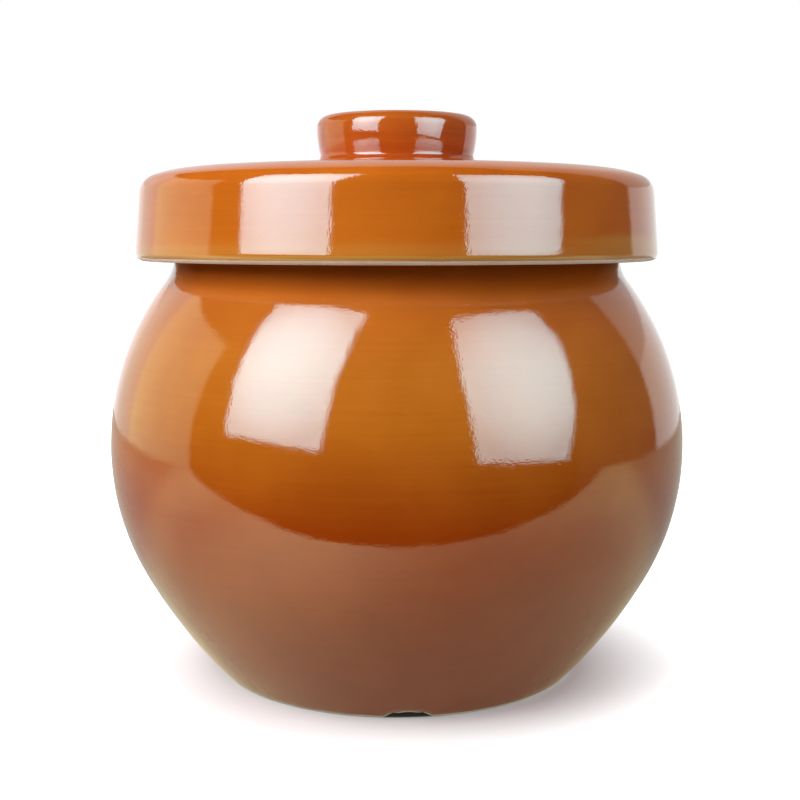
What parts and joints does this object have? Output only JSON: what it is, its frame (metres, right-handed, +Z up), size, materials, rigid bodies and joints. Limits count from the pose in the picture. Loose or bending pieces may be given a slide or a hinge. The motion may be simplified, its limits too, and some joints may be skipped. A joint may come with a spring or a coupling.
{
  "type": "ceramic crock fermenter",
  "caption": "Round-bellied glazed stoneware fermenting crock with an overhanging cap lid, ring knob, soft lid seal and half-moon weights.",
  "frame": {"origin": "centre of the foot ring, on the surface the crock stands on", "axes": "+Z up along the axis of the jar; -Y towards the notch in the front of the foot ring; +X to the right seen from the front"},
  "size_m": [0.283, 0.283, 0.2725],
  "materials": {
    "crock_glaze": "glossy amber-brown glaze with fine horizontal streaks",
    "lid_glaze": "glossy amber glaze, thin and yellower at the lower edge, bare cream lip",
    "knob_glaze": "glossy red-brown glaze",
    "seal_silicone": "soft milky silicone",
    "bare_stoneware": "matte unglazed buff stoneware"
  },
  "bodies": {
    "crock": {"crock_body": "crock_glaze", "crock_neck": "crock_glaze"},
    "seal": {"lid_seal_ring": "seal_silicone"},
    "lid": {"lid_shell": "lid_glaze", "lid_locating_ring": "lid_glaze", "lid_knob": "knob_glaze"},
    "weight_left": {"weight_left": "bare_stoneware"},
    "weight_right": {"weight_right": "bare_stoneware"}
  },
  "joints": [
    {"name": "lid_lift", "type": "slide", "parent": "crock", "child": "seal", "axis": [0, 0, 1], "range_m": [0, 0.25]},
    {"name": "lid_turn", "type": "hinge", "parent": "seal", "child": "lid", "pos_m": [0, 0, 0.235], "axis": [0, 0, 1], "continuous": true},
    {"name": "weight_left_lift", "type": "slide", "parent": "crock", "child": "weight_left", "axis": [0, 0, 1], "range_m": [0, 0.16]},
    {"name": "weight_right_lift", "type": "slide", "parent": "crock", "child": "weight_right", "axis": [0, 0, 1], "range_m": [0, 0.16]}
  ]
}
